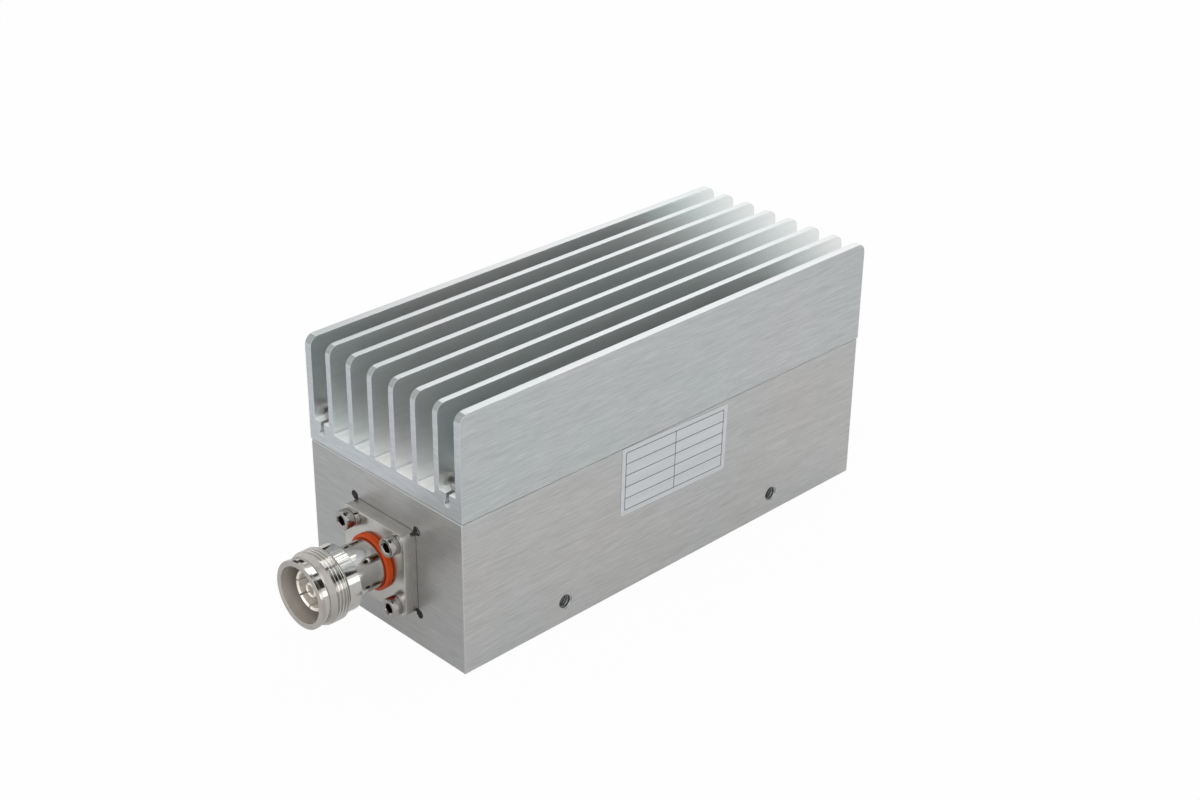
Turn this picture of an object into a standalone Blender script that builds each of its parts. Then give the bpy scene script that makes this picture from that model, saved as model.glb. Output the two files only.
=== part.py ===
"""A coaxial dummy load: a panel jack on a milled housing, with a finned heat sink as its lid.

Metres, +Z up. The origin is the middle of the housing's underside, and the jack faces -Y.
"""

import math

import bmesh
import bpy
from mathutils import Matrix, Vector

MM = 0.001

# Clearances
SEAT_GAP = 0.30 * MM          # left between faces that touch
THREAD_GAP = 0.30 * MM        # round a screw's shank in its hole
WASHER_GAP = 0.15 * MM        # above and below a washer
MERGE = 0.005 * MM            # vertices closer than this are one

# Housing
HOUSING_WIDTH = 60.6 * MM
HOUSING_LENGTH = 153.0 * MM
HOUSING_HEIGHT = 44.65 * MM
HOUSING_CHAMFER = 0.2 * MM
SIDE_WALL = 4.0 * MM
END_WALL = 9.2 * MM
FLOOR = 11.0 * MM
CAVITY_CORNER = 6.0 * MM
BRACKET_HOLE = 4.0 * MM       # threaded holes low on both long sides
BRACKET_HOLE_DEPTH = 8.0 * MM
BRACKET_HOLE_HEIGHT = 6.2 * MM
BRACKET_HOLE_INSET = 35.4 * MM
COUNTERSINK = 0.35 * MM

# Heat sink
SINK_OVERHANG = 0.2 * MM      # past the housing on each long side
SINK_HEIGHT = 30.25 * MM
SINK_BASE = 4.75 * MM
FIN_COUNT = 8
OUTER_FIN = 2.3 * MM
INNER_FIN = 1.8 * MM
OUTER_CHANNEL = 6.15 * MM
FIN_FOOT_RADIUS = 0.8 * MM
FIN_NOSE_RADIUS = 2.8 * MM
PAD_RISE = 1.85 * MM          # the outer channels have thicker floors
PORT_NECK = 1.3 * MM
PORT_BORE = 2.3 * MM
PORT_DEPTH = 3.9 * MM

# Jack, with distances measured forward from the housing's front face
JACK_HEIGHT = 22.6 * MM
FLANGE_SIZE = 23.75 * MM
FLANGE_CORNER = 1.6 * MM
FLANGE_FRONT = 4.1 * MM
POCKET_DEPTH = 1.2 * MM
POCKET_CLEARANCE = 0.35 * MM
RELIEF_RADIUS = 1.4 * MM
RELIEF_DEPTH = 3.0 * MM
RELIEF_OFFSET = 0.3 * MM      # of the relief holes outside the pocket's corners
BARREL_RADIUS = 6.85 * MM
SPIGOT_RADIUS = 6.4 * MM
COLLAR_RADIUS = 9.15 * MM
COLLAR_REAR = 15.4 * MM
THREAD_RADIUS = 10.0 * MM
THREAD_REAR = 20.1 * MM
THREAD_FRONT = 23.7 * MM
THREAD_TAPER = 1.7 * MM       # in front of the thread, down to its root
THREAD_ROOT = 9.3 * MM
NECK_RADIUS = 8.9 * MM
LIP_RADIUS = 9.4 * MM
LIP_LENGTH = 1.1 * MM
LIP_FRONT = 28.3 * MM
EDGE_BREAK = 0.25 * MM
MOUTH_RADIUS = 7.9 * MM
MOUTH_DEPTH = 12.0 * MM
LINE_RADIUS = 5.0 * MM        # inside of the outer conductor
BASKET_WALL = 0.8 * MM
BASKET_RECESS = 3.2 * MM
BASKET_SEAT = 8.0 * MM
BASKET_SLOTS = 8
BASKET_SLOT_WIDTH = 0.45 * MM
BASKET_SLOT_LENGTH = 9.0 * MM
BASKET_TURN = math.radians(-7.5)
PIN_RADIUS = 2.1 * MM
PIN_RECESS = 3.4 * MM
PIN_BORE = 1.35 * MM
PIN_BORE_DEPTH = 7.0 * MM
PIN_SLOTS = 4
PIN_SLOT_WIDTH = 0.35 * MM
PIN_SLOT_LENGTH = 5.0 * MM
TAIL_RADIUS = 1.3 * MM
TAIL_LENGTH = 5.0 * MM
BEAD_LENGTH = 3.5 * MM
GASKET_RADIUS = 7.9 * MM
GASKET_THICKNESS = 2.0 * MM
FERRULE_PLUG = 3.0 * MM       # part of the ferrule inside the jack
FERRULE_COLLAR = 3.5 * MM

# Screws
FLANGE_SCREW_SPACING = 18.29 * MM
SCREW_RADIUS = 1.5 * MM
CAP_RADIUS = 2.7 * MM
CAP_HEIGHT = 2.8 * MM
KEY_RADIUS = 1.45 * MM        # to the corners of the hexagon socket
KEY_DEPTH = 1.6 * MM
FLANGE_SCREW_LENGTH = 10.0 * MM
WASHER_RADIUS = 2.75 * MM
WASHER_THICKNESS = 0.6 * MM
WASHER_SPLIT = 0.45 * MM
WASHER_PITCH = math.radians(20)
SCREW_TURN = math.radians(37)  # between one screw's socket and the next
SINK_SCREW_INSET = 4.5 * MM
SINK_SCREW_LENGTH = 13.0 * MM
PAN_RADIUS = 2.65 * MM
PAN_HEIGHT = 2.1 * MM
PAN_CROWN = 0.9 * MM
CROSS_WIDTH = 0.6 * MM
CROSS_LENGTH = 2.6 * MM
CROSS_DEPTH = 1.1 * MM
LOAD_SCREW_LENGTH = 7.0 * MM
TAP_DEPTH = 3.4 * MM          # blind holes in the heat sink's base
TAP_ALLOWANCE = 1.5 * MM      # a threaded hole runs this far past its screw

# Inside
CABLE_RADIUS = 1.8 * MM
CORE_RADIUS = 0.45 * MM
CORE_BARE = 3.2 * MM
TURN_GAP = 0.6 * MM
COIL_CLEARANCE = 1.6 * MM     # between the winding and the side walls
FORMER_FLANGE = 1.8 * MM
FORMER_REACH = 26.0 * MM      # from the front wall to the winding former
FORMER_TAIL = 19.0 * MM       # behind it, to the rear wall
FORMER_CLEARANCE = 0.8 * MM   # above the housing's floor
THERMAL_SHEET = 1.0 * MM
FORMER_SCREW_RADIUS = 2.0 * MM
FORMER_CAP_RADIUS = 3.5 * MM
FORMER_CAP_HEIGHT = 4.0 * MM
FORMER_KEY_RADIUS = 1.7 * MM
FORMER_WEB = 5.4 * MM         # under its screws' heads
FORMER_SCREW_SPACING = 30.0 * MM
LEAD_STRAIGHT = 6.0 * MM      # out of the ferrule, before the first bend
LEAD_SHARE = 0.65             # last bend, of the room between winding and load
LOAD_SHARE = 0.494             # of the cavity's width
LOAD_DEPTH = 9.0 * MM
LOAD_HEIGHT = 11.0 * MM
LOAD_SCREW_INSET = 6.2 * MM   # from the load's ends
LOAD_SOCKET_DEPTH = 2.2 * MM

# Values that follow from the ones above
FRONT = -HOUSING_LENGTH / 2
INNER_FRONT = FRONT + END_WALL
INNER_REAR = -INNER_FRONT
CAVITY_WIDTH = HOUSING_WIDTH - 2 * SIDE_WALL
SINK_WIDTH = HOUSING_WIDTH + 2 * SINK_OVERHANG
SINK_BOTTOM = HOUSING_HEIGHT + SEAT_GAP
SINK_TOP = SINK_BOTTOM + SINK_HEIGHT
CHANNEL_FLOOR = SINK_BOTTOM + SINK_BASE
PAD_TOP = CHANNEL_FLOOR + PAD_RISE
INNER_CHANNEL = (SINK_WIDTH - 2 * OUTER_FIN - (FIN_COUNT - 2) * INNER_FIN
                 - 2 * OUTER_CHANNEL) / (FIN_COUNT - 3)
PORT_X = SINK_WIDTH / 2 - OUTER_FIN - OUTER_CHANNEL / 2
SINK_SCREW_Y = HOUSING_LENGTH / 2 - SINK_SCREW_INSET
FLANGE_BACK = SEAT_GAP - POCKET_DEPTH
JACK_FRAME = Matrix.Translation((0, FRONT, JACK_HEIGHT)) @ Matrix.Rotation(math.radians(90), 4, "X")
BASKET_RADIUS = LINE_RADIUS + BASKET_WALL
BASKET_FRONT = LIP_FRONT - BASKET_RECESS
PIN_FRONT = LIP_FRONT - PIN_RECESS
FERRULE_FRONT = FERRULE_PLUG - END_WALL
CABLE_START = FERRULE_FRONT - SEAT_GAP
TAIL_END = CABLE_START + 3 * SEAT_GAP
CORE_FRONT = CABLE_START + CORE_BARE
TAIL_FRONT = TAIL_END + TAIL_LENGTH
REAR_BEAD_FRONT = TAIL_FRONT + SEAT_GAP + BEAD_LENGTH
WINDING_RADIUS = CAVITY_WIDTH / 2 - COIL_CLEARANCE - CABLE_RADIUS
FORMER_RADIUS = WINDING_RADIUS - CABLE_RADIUS - SEAT_GAP
FORMER_FRONT = INNER_FRONT + FORMER_REACH
FORMER_REAR = INNER_REAR - FORMER_TAIL
FORMER_TOP = SINK_BOTTOM - THERMAL_SHEET - 2 * SEAT_GAP
FORMER_BOTTOM = FLOOR + FORMER_CLEARANCE
FORMER_CAP_SEAT = FORMER_TOP - FORMER_WEB
LOAD_WIDTH = LOAD_SHARE * CAVITY_WIDTH
LOAD_SCREW_SPACING = LOAD_WIDTH - 2 * LOAD_SCREW_INSET
LEAD_BEND = LEAD_SHARE * (WINDING_RADIUS - LOAD_WIDTH / 2)
LOAD_TOP = SINK_BOTTOM - SEAT_GAP
LOAD_Y = (FORMER_REAR + INNER_REAR) / 2 + CABLE_RADIUS
LOAD_CENTRE = LOAD_TOP - LOAD_HEIGHT / 2
LOAD_WELL = LOAD_HEIGHT + TAP_DEPTH - LOAD_SCREW_LENGTH

# Facets
ROUND_STEPS = 48
SMALL_STEPS = 20
FINE_STEPS = 16
WINDING_STEPS = 8             # in each half turn


def collection(name):
    """A collection in the scene, made once."""
    found = bpy.data.collections.get(name)
    if found is None:
        found = bpy.data.collections.new(name)
        bpy.context.scene.collection.children.link(found)
    return found


def material(name, colour, roughness, metallic=0.0):
    """A Principled material with one colour."""
    mat = bpy.data.materials.new(name)
    mat.use_nodes = True
    shader = mat.node_tree.nodes["Principled BSDF"]
    shader.inputs["Base Color"].default_value = (*colour, 1)
    shader.inputs["Roughness"].default_value = roughness
    shader.inputs["Metallic"].default_value = metallic
    return mat


def add_object(name, mesh, mat=None, frame=None):
    """An object in the part's collection, or among the cutters if it has no material."""
    obj = bpy.data.objects.new(name, mesh)
    if mat:
        collection("dummy_load").objects.link(obj)
        mesh.materials.append(mat)
    else:
        collection("cutters").objects.link(obj)
        obj.hide_render = True
        obj.display_type = "WIRE"
    if frame:
        obj.matrix_world = frame
    return obj


def add_mesh(name, bm, mat=None, frame=None):
    """An object from a finished bmesh."""
    mesh = bpy.data.meshes.new(name)
    bm.to_mesh(mesh)
    bm.free()
    return add_object(name, mesh, mat, frame)


def mesh_of_curve(name, curve, mat=None, frame=None):
    """A curve made into a closed mesh object."""
    drawn = bpy.data.objects.new(name + "_curve", curve)
    bpy.context.scene.collection.objects.link(drawn)
    depsgraph = bpy.context.evaluated_depsgraph_get()
    mesh = bpy.data.meshes.new_from_object(drawn.evaluated_get(depsgraph))
    bpy.data.objects.remove(drawn)
    bpy.data.curves.remove(curve)
    bm = bmesh.new()
    bm.from_mesh(mesh)
    bpy.data.meshes.remove(mesh)
    bmesh.ops.remove_doubles(bm, verts=bm.verts, dist=MERGE)
    bmesh.ops.recalc_face_normals(bm, faces=bm.faces)
    return add_mesh(name, bm, mat, frame)


def arc(centre_x, centre_y, radius, start, end, steps):
    """Points of an arc between two angles in degrees, both ends included."""
    angles = [math.radians(start + (end - start) * i / steps) for i in range(steps + 1)]
    return [(centre_x + radius * math.cos(a), centre_y + radius * math.sin(a)) for a in angles]


def circle(centre_x, centre_y, radius, steps):
    """Points round a circle."""
    return arc(centre_x, centre_y, radius, 0, 360, steps)[:-1]


def rounded_rectangle(width, height, radius, steps=4):
    """The outline of a rectangle with round corners, about its own centre."""
    points = []
    for quarter, (sx, sy) in enumerate(((1, 1), (-1, 1), (-1, -1), (1, -1))):
        points += arc(sx * (width / 2 - radius), sy * (height / 2 - radius), radius,
                      quarter * 90, quarter * 90 + 90, steps)
    return points


def racetrack(front, rear, radius, steps=2 * WINDING_STEPS):
    """The outline of two half circles joined by straight runs along Y."""
    return (arc(0, rear - radius, radius, 0, 180, steps)
            + arc(0, front + radius, radius, 180, 360, steps))


def prism(name, outlines, thickness, mat=None, frame=None):
    """A flat outline, with any holes in it, given a thickness about its own XY plane."""
    curve = bpy.data.curves.new(name, "CURVE")
    curve.dimensions = "2D"
    curve.fill_mode = "BOTH"
    curve.extrude = thickness / 2
    for outline in outlines:
        spline = curve.splines.new("POLY")
        spline.points.add(len(outline) - 1)
        for point, (x, y) in zip(spline.points, outline):
            point.co = (x, y, 0, 1)
        spline.use_cyclic_u = True
    return mesh_of_curve(name, curve, mat, frame)


def tube(name, points, radius, mat):
    """A round wire with flat ends along a list of points."""
    curve = bpy.data.curves.new(name, "CURVE")
    curve.dimensions = "3D"
    curve.bevel_depth = radius
    curve.bevel_resolution = 2
    curve.use_fill_caps = True
    spline = curve.splines.new("POLY")
    spline.points.add(len(points) - 1)
    for point, place in zip(spline.points, points):
        point.co = (*place, 1)
    return mesh_of_curve(name, curve, mat)


def block(name, size, mat=None, frame=None):
    """A plain box about its own origin."""
    bm = bmesh.new()
    bmesh.ops.create_cube(bm, size=1)
    bmesh.ops.scale(bm, vec=size, verts=bm.verts)
    return add_mesh(name, bm, mat, frame)


def turned(name, profile, mat=None, frame=None, steps=ROUND_STEPS, closed=False):
    """A profile of (radius, height) points turned about its own Z.

    The profile runs down its outer side, and a closed one comes back up inside.
    """
    bm = bmesh.new()
    verts = [bm.verts.new((radius, 0, height)) for radius, height in profile]
    for first, second in zip(verts, verts[1:]):
        bm.edges.new((first, second))
    if closed:
        bm.edges.new((verts[-1], verts[0]))
    obj = add_mesh(name, bm, mat, frame)
    screw = obj.modifiers.new("turn", "SCREW")
    screw.axis = "Z"
    screw.steps = steps
    screw.render_steps = steps
    screw.use_merge_vertices = True
    screw.merge_threshold = MERGE
    return obj


def drills(name, centres, radius, depth, direction="Z", steps=SMALL_STEPS):
    """Round cutters, each about its own centre, along one axis of the part."""
    turns = {"X": Matrix.Rotation(math.radians(90), 4, "Y"),
             "Y": Matrix.Rotation(math.radians(90), 4, "X"),
             "Z": Matrix.Identity(4)}
    bm = bmesh.new()
    for centre in centres:
        bmesh.ops.create_cone(bm, cap_ends=True, segments=steps, radius1=radius, radius2=radius,
                              depth=depth, matrix=Matrix.Translation(centre) @ turns[direction])
    return add_mesh(name, bm)


def slots(name, count, width, inner, outer, front, length, turn):
    """Blades set round the jack's axis, to slot a tube of these radii from its front."""
    bm = bmesh.new()
    for number in range(count):
        place = (JACK_FRAME @ Matrix.Rotation(turn + 2 * math.pi * number / count, 4, "Z")
                 @ Matrix.Translation(((inner + outer) / 2, 0, front - length / 2))
                 @ Matrix.Diagonal((2 * (outer - inner), width, length + 2 * SEAT_GAP, 1)))
        bmesh.ops.create_cube(bm, size=1, matrix=place)
    return add_mesh(name, bm)


def combine(obj, other, operation="DIFFERENCE"):
    """Cut, join or keep the common volume with another object."""
    modifier = obj.modifiers.new(other.name, "BOOLEAN")
    modifier.operation = operation
    modifier.solver = "EXACT"
    modifier.object = other


def freeze(obj, smooth_angle=35):
    """Replace an object's mesh by what its modifiers make, shaded smooth up to an angle."""
    depsgraph = bpy.context.evaluated_depsgraph_get()
    mesh = bpy.data.meshes.new_from_object(obj.evaluated_get(depsgraph))
    mesh.name = obj.name
    obj.modifiers.clear()
    obj.data = mesh
    mesh.shade_smooth()
    mesh.set_sharp_from_angle(angle=math.radians(smooth_angle))
    return obj


def copies(pattern, name, frames):
    """Objects that share one mesh, numbered from 1, in place of their pattern."""
    for number, frame in enumerate(frames, 1):
        obj = bpy.data.objects.new(f"{name}_{number}", pattern.data)
        collection("dummy_load").objects.link(obj)
        obj.matrix_world = frame
    bpy.data.objects.remove(pattern)


def plain_channel(left, right):
    """A channel between two inner fins, from the left one's top to the right one's."""
    r = FIN_FOOT_RADIUS
    return ([(left, SINK_TOP)] + arc(left + r, CHANNEL_FLOOR + r, r, 180, 270, 3)
            + arc(right - r, CHANNEL_FLOOR + r, r, 270, 360, 3) + [(right, SINK_TOP)])


def ported_channel(left, right):
    """An outer channel, whose raised floor holds a narrow screw port with a round bottom."""
    middle = (left + right) / 2
    bore = PORT_BORE / 2
    neck = PORT_NECK / 2
    opening = math.degrees(math.acos(neck / bore))
    return ([(left, SINK_TOP), (left, PAD_TOP), (middle - neck, PAD_TOP)]
            + arc(middle, PAD_TOP - PORT_DEPTH + bore, bore, 180 - opening, 360 + opening, 10)
            + [(middle + neck, PAD_TOP), (right, PAD_TOP), (right, SINK_TOP)])


def heat_sink_section():
    """The extrusion's outline across its length."""
    half = SINK_WIDTH / 2
    points = [(-half, SINK_BOTTOM), (-half, SINK_TOP)]
    x = -half + OUTER_FIN
    for number in range(FIN_COUNT - 1):
        if number in (0, FIN_COUNT - 2):
            points += ported_channel(x, x + OUTER_CHANNEL)
            x += OUTER_CHANNEL + INNER_FIN
        else:
            points += plain_channel(x, x + INNER_CHANNEL)
            x += INNER_CHANNEL + INNER_FIN
    return points + [(half, SINK_TOP), (half, SINK_BOTTOM)]


def fin_side_view():
    """The heat sink's outline from its side, with the fins' top corners rounded."""
    half = HOUSING_LENGTH / 2
    r = FIN_NOSE_RADIUS
    return ([(-half, SINK_BOTTOM), (half, SINK_BOTTOM)] + arc(half - r, SINK_TOP - r, r, 0, 90, 5)
            + arc(r - half, SINK_TOP - r, r, 90, 180, 5))


def sink_screw_places():
    """Where the heat sink's screws stand, on the outer channels' floors."""
    return [Vector((sx * PORT_X, sy * SINK_SCREW_Y, PAD_TOP)) for sx in (-1, 1) for sy in (-1, 1)]


def former_screw_places():
    """The former's two screws, where they enter the heat sink."""
    middle = (FORMER_FRONT + FORMER_REAR) / 2
    return [Vector((0, middle + side * FORMER_SCREW_SPACING / 2, SINK_BOTTOM)) for side in (-1, 1)]


def load_screw_places():
    """The load's two screws, where they enter the heat sink."""
    return [Vector((side * LOAD_SCREW_SPACING / 2, LOAD_Y, SINK_BOTTOM)) for side in (-1, 1)]


def flange_screw_places():
    """The flange's four screws, as points of the jack's own plane."""
    half = FLANGE_SCREW_SPACING / 2
    return [(sx * half, sy * half) for sy in (1, -1) for sx in (-1, 1)]


def make_heat_sink(mat):
    """One extrusion with eight fins, rounded at both ends and drilled for its screws."""
    upright = Matrix.Rotation(math.radians(90), 4, "X")
    sink = prism("heat_sink", [heat_sink_section()], HOUSING_LENGTH, mat, upright)
    sideways = Matrix(((0, 0, 1, 0), (1, 0, 0, 0), (0, 1, 0, 0), (0, 0, 0, 1)))
    outline = prism("fin_side_view", [fin_side_view()], SINK_WIDTH * 1.2, frame=sideways)
    combine(sink, outline, "INTERSECT")
    thickness = PAD_TOP - SINK_BOTTOM
    middles = [place - Vector((0, 0, thickness / 2)) for place in sink_screw_places()]
    combine(sink, drills("sink_screw_holes", middles, SCREW_RADIUS + THREAD_GAP, thickness * 1.5))
    for name, places, radius in (("former_taps", former_screw_places(), FORMER_SCREW_RADIUS),
                                 ("load_taps", load_screw_places(), SCREW_RADIUS)):
        combine(sink, drills(name, places, radius + THREAD_GAP, 2 * TAP_DEPTH, steps=FINE_STEPS))
    return freeze(sink)


def make_housing(mat):
    """A box milled from one block, open under the heat sink, with a pocket for the flange."""
    middle = Matrix.Translation((0, 0, HOUSING_HEIGHT / 2))
    housing = block("housing", (HOUSING_WIDTH, HOUSING_LENGTH, HOUSING_HEIGHT), mat, middle)
    chamfer = housing.modifiers.new("chamfer", "BEVEL")
    chamfer.width = HOUSING_CHAMFER
    chamfer.segments = 1
    depth = HOUSING_HEIGHT - FLOOR
    cavity = rounded_rectangle(CAVITY_WIDTH, INNER_REAR - INNER_FRONT, CAVITY_CORNER)
    lifted = Matrix.Translation((0, 0, FLOOR + depth))
    combine(housing, prism("cavity", [cavity], 2 * depth, frame=lifted))

    pocket = FLANGE_SIZE + 2 * POCKET_CLEARANCE
    face = Matrix.Translation((0, FRONT, JACK_HEIGHT))
    combine(housing, block("flange_pocket", (pocket, 2 * POCKET_DEPTH, pocket), frame=face))
    reach = pocket / 2 + RELIEF_OFFSET
    corners = [Vector((sx * reach, FRONT, JACK_HEIGHT + sz * reach))
               for sx in (-1, 1) for sz in (-1, 1)]
    combine(housing, drills("corner_reliefs", corners, RELIEF_RADIUS, 2 * RELIEF_DEPTH, "Y",
                            FINE_STEPS))
    through = [Vector((0, FRONT + END_WALL / 2, JACK_HEIGHT))]
    combine(housing, drills("spigot_hole", through, SPIGOT_RADIUS + SEAT_GAP, END_WALL * 1.5, "Y",
                            ROUND_STEPS))
    stack = FLANGE_FRONT + WASHER_THICKNESS + 2 * WASHER_GAP
    reach = FLANGE_SCREW_LENGTH - stack + TAP_ALLOWANCE
    taps = [Vector((x, FRONT, JACK_HEIGHT + y)) for x, y in flange_screw_places()]
    tap = SCREW_RADIUS + THREAD_GAP
    combine(housing, drills("flange_taps", taps, tap, 2 * reach, "Y", FINE_STEPS))
    reach = SINK_SCREW_LENGTH - (PAD_TOP - HOUSING_HEIGHT) + TAP_ALLOWANCE
    taps = [Vector((p.x, p.y, HOUSING_HEIGHT)) for p in sink_screw_places()]
    combine(housing, drills("sink_taps", taps, tap, 2 * reach, "Z", FINE_STEPS))

    hole_y = HOUSING_LENGTH / 2 - BRACKET_HOLE_INSET
    sides = [Vector((sx * HOUSING_WIDTH / 2, sy * hole_y, BRACKET_HOLE_HEIGHT))
             for sx in (-1, 1) for sy in (-1, 1)]
    combine(housing, drills("bracket_holes", sides, BRACKET_HOLE / 2, 2 * BRACKET_HOLE_DEPTH, "X"))
    combine(housing, drills("bracket_countersinks", sides, BRACKET_HOLE / 2 + COUNTERSINK,
                            2 * COUNTERSINK, "X"))
    return freeze(housing)


def make_connector_body(mat):
    """The jack's shell: a square flange, a barrel and a threaded head made in one piece."""
    thickness = FLANGE_FRONT - FLANGE_BACK
    outlines = [rounded_rectangle(FLANGE_SIZE, FLANGE_SIZE, FLANGE_CORNER)]
    outlines += [circle(x, y, SCREW_RADIUS + THREAD_GAP, FINE_STEPS) for x, y in flange_screw_places()]
    seated = JACK_FRAME @ Matrix.Translation((0, 0, FLANGE_BACK + thickness / 2))
    body = prism("connector_body", outlines, thickness, mat, seated)
    inside_flange = FLANGE_FRONT - thickness / 2
    shell = turned("shell_blank", [
        (0, LIP_FRONT),
        (LIP_RADIUS - EDGE_BREAK, LIP_FRONT),
        (LIP_RADIUS, LIP_FRONT - EDGE_BREAK),
        (LIP_RADIUS, LIP_FRONT - LIP_LENGTH),
        (NECK_RADIUS, LIP_FRONT - LIP_LENGTH),
        (NECK_RADIUS, THREAD_FRONT + THREAD_TAPER),
        (THREAD_ROOT, THREAD_FRONT + THREAD_TAPER),
        (THREAD_RADIUS, THREAD_FRONT),
        (THREAD_RADIUS, THREAD_REAR),
        (COLLAR_RADIUS, THREAD_REAR - (THREAD_RADIUS - COLLAR_RADIUS)),
        (COLLAR_RADIUS, COLLAR_REAR + EDGE_BREAK),
        (COLLAR_RADIUS - EDGE_BREAK, COLLAR_REAR),
        (BARREL_RADIUS, COLLAR_REAR),
        (BARREL_RADIUS, inside_flange),
        (SPIGOT_RADIUS, inside_flange),
        (SPIGOT_RADIUS, -END_WALL),
        (0, -END_WALL),
    ], frame=JACK_FRAME)
    combine(body, shell, "UNION")
    seat = BASKET_RADIUS + SEAT_GAP
    bore = turned("jack_bore", [
        (0, LIP_FRONT + SEAT_GAP),
        (MOUTH_RADIUS, LIP_FRONT + SEAT_GAP),
        (MOUTH_RADIUS, LIP_FRONT - MOUTH_DEPTH),
        (seat, LIP_FRONT - MOUTH_DEPTH),
        (seat, BASKET_SEAT),
        (LINE_RADIUS, BASKET_SEAT),
        (LINE_RADIUS, -END_WALL - SEAT_GAP),
        (0, -END_WALL - SEAT_GAP),
    ], frame=JACK_FRAME)
    combine(body, bore)
    return freeze(body)


def make_outer_contact(mat):
    """The spring basket: a thin tube slotted into fingers, with a bevelled mouth."""
    back = BASKET_SEAT + SEAT_GAP
    bevel = BASKET_WALL / 2
    contact = turned("outer_contact", [
        (LINE_RADIUS + bevel, BASKET_FRONT),
        (BASKET_RADIUS - bevel / 2, BASKET_FRONT),
        (BASKET_RADIUS, BASKET_FRONT - bevel / 2),
        (BASKET_RADIUS, back),
        (LINE_RADIUS, back),
        (LINE_RADIUS, BASKET_FRONT - bevel),
    ], mat, JACK_FRAME, closed=True)
    combine(contact, slots("basket_slots", BASKET_SLOTS, BASKET_SLOT_WIDTH, LINE_RADIUS,
                           BASKET_RADIUS, BASKET_FRONT, BASKET_SLOT_LENGTH, BASKET_TURN))
    return freeze(contact)


def make_centre_contact(mat):
    """The centre conductor: a split socket in front and a solder cup at its tail."""
    cup = CORE_RADIUS + SEAT_GAP
    cup_floor = CORE_FRONT + SEAT_GAP
    pin = turned("centre_contact", [
        (0, PIN_FRONT - PIN_BORE_DEPTH),
        (PIN_BORE, PIN_FRONT - PIN_BORE_DEPTH),
        (PIN_BORE, PIN_FRONT - EDGE_BREAK),
        (PIN_BORE + EDGE_BREAK, PIN_FRONT),
        (PIN_RADIUS - EDGE_BREAK, PIN_FRONT),
        (PIN_RADIUS, PIN_FRONT - EDGE_BREAK),
        (PIN_RADIUS, TAIL_FRONT),
        (TAIL_RADIUS, TAIL_FRONT),
        (TAIL_RADIUS, TAIL_END),
        (cup, TAIL_END),
        (cup, cup_floor),
        (0, cup_floor),
    ], mat, JACK_FRAME, SMALL_STEPS)
    combine(pin, slots("pin_slots", PIN_SLOTS, PIN_SLOT_WIDTH, PIN_BORE, PIN_RADIUS, PIN_FRONT,
                       PIN_SLOT_LENGTH, math.radians(45)))
    return freeze(pin)


def make_ring(name, inner, outer, front, length, mat, steps=SMALL_STEPS):
    """A plain ring on the jack's axis."""
    profile = [(inner, front), (outer, front), (outer, front - length), (inner, front - length)]
    return freeze(turned(name, profile, mat, JACK_FRAME, steps, closed=True))


def make_ferrule(mat):
    """The sleeve that joins the cable's outer conductor to the back of the jack."""
    bore = CABLE_RADIUS + SEAT_GAP
    plug = LINE_RADIUS - SEAT_GAP
    shoulder = -END_WALL - SEAT_GAP
    return freeze(turned("cable_ferrule", [
        (bore, FERRULE_FRONT),
        (plug, FERRULE_FRONT),
        (plug, shoulder),
        (SPIGOT_RADIUS, shoulder),
        (SPIGOT_RADIUS, shoulder - FERRULE_COLLAR),
        (bore, shoulder - FERRULE_COLLAR),
    ], mat, JACK_FRAME, SMALL_STEPS, closed=True))


def cap_screw(name, radius, length, cap_radius, cap_height, key_radius, mat):
    """A socket cap screw about its own Z, with its head seated at the origin."""
    screw = turned(name, [
        (0, cap_height),
        (cap_radius - EDGE_BREAK, cap_height),
        (cap_radius, cap_height - EDGE_BREAK),
        (cap_radius, 0),
        (radius, 0),
        (radius, -length + EDGE_BREAK),
        (radius - EDGE_BREAK, -length),
        (0, -length),
    ], mat, steps=SMALL_STEPS)
    top = [Vector((0, 0, cap_height))]
    combine(screw, drills(name + "_key", top, key_radius, 2 * KEY_DEPTH, steps=6))
    return freeze(screw)


def make_flange_screws(steel):
    """Four cap screws on lock washers, each turned to its own angle."""
    washer_seat = FLANGE_FRONT + WASHER_GAP
    head_seat = washer_seat + WASHER_THICKNESS + WASHER_GAP
    screw = cap_screw("flange_screw", SCREW_RADIUS, FLANGE_SCREW_LENGTH, CAP_RADIUS, CAP_HEIGHT,
                      KEY_RADIUS, steel)
    inner = SCREW_RADIUS + THREAD_GAP
    washer = turned("lock_washer", [
        (inner, WASHER_THICKNESS),
        (WASHER_RADIUS, WASHER_THICKNESS),
        (WASHER_RADIUS, 0),
        (inner, 0),
    ], steel, steps=SMALL_STEPS, closed=True)
    gap = Matrix.Translation((WASHER_RADIUS, 0, 0)) @ Matrix.Rotation(WASHER_PITCH, 4, "X")
    combine(washer, block("washer_split", (2 * WASHER_RADIUS - inner, WASHER_SPLIT,
                                           4 * WASHER_THICKNESS), frame=gap))
    freeze(washer)
    places = [JACK_FRAME @ Matrix.Translation((x, y, 0)) for x, y in flange_screw_places()]
    turns = [Matrix.Rotation(SCREW_TURN * number, 4, "Z") for number in range(len(places))]
    copies(screw, "flange_screw", [place @ Matrix.Translation((0, 0, head_seat)) @ turn
                                   for place, turn in zip(places, turns)])
    copies(washer, "lock_washer", [place @ Matrix.Translation((0, 0, washer_seat)) @ turn
                                   for place, turn in zip(places, turns)])


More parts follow.
